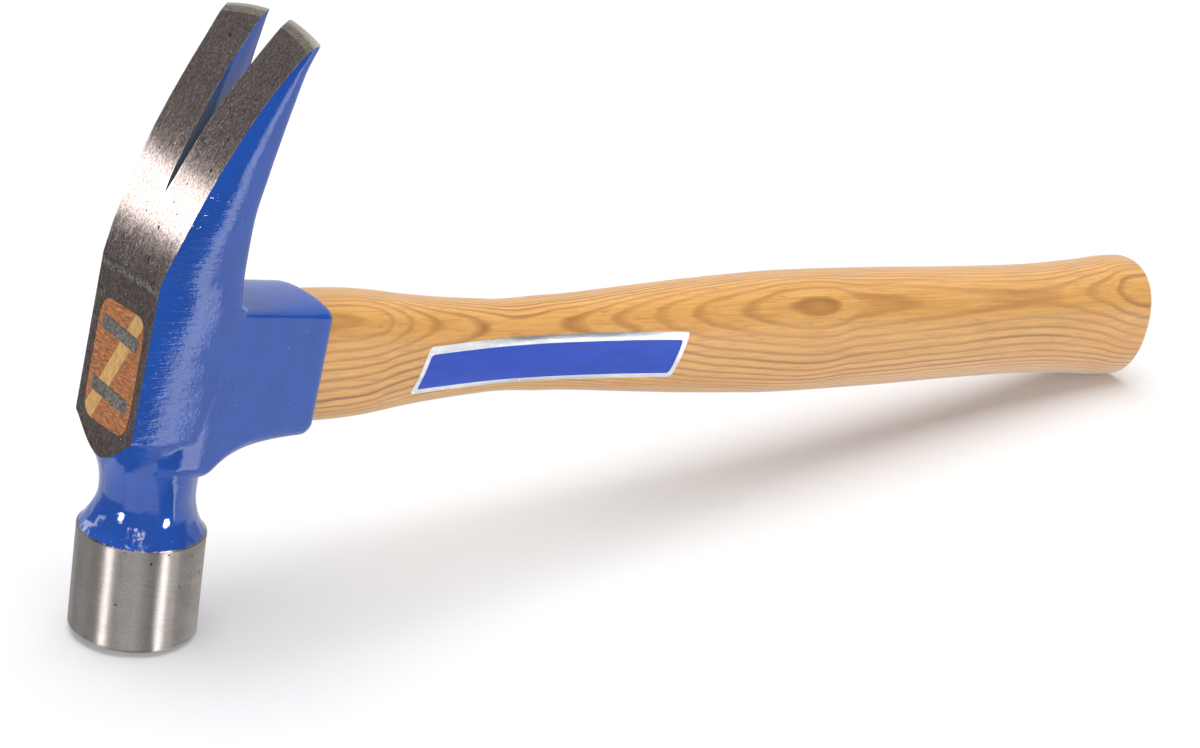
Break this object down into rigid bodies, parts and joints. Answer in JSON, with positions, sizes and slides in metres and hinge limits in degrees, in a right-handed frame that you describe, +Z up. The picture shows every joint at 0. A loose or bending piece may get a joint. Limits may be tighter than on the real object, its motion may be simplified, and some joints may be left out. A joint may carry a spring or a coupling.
{
  "type": "framing hammer",
  "caption": "Rip-claw framing hammer: one forged head with a round poll and a nail slot, on a straight wooden handle locked by wedges.",
  "frame": {"origin": "middle of the ground that the hammer covers as it stands on its striking face and the underside of its butt", "axes": "+X from the head towards the butt, level; +Y across the hammer, away from the side with the label; +Z up, towards the claw tips"},
  "size_m": [0.4116, 0.0398, 0.1663],
  "materials": {
    "enamelled_steel": "glossy blue enamel, with the poll and the ground face left bare",
    "lacquered_hickory": "clear satin lacquer",
    "wedge_wood": "bare, ground flush",
    "wedge_steel": "ground flush",
    "foil_label": "printed foil, blue with a silver border"
  },
  "bodies": {
    "root": {"head": "enamelled_steel", "handle": "lacquered_hickory", "wood_wedge": "wedge_wood", "steel_wedge_claw_side": "wedge_steel", "steel_wedge_poll_side": "wedge_steel", "label": "foil_label"}
  },
  "joints": []
}
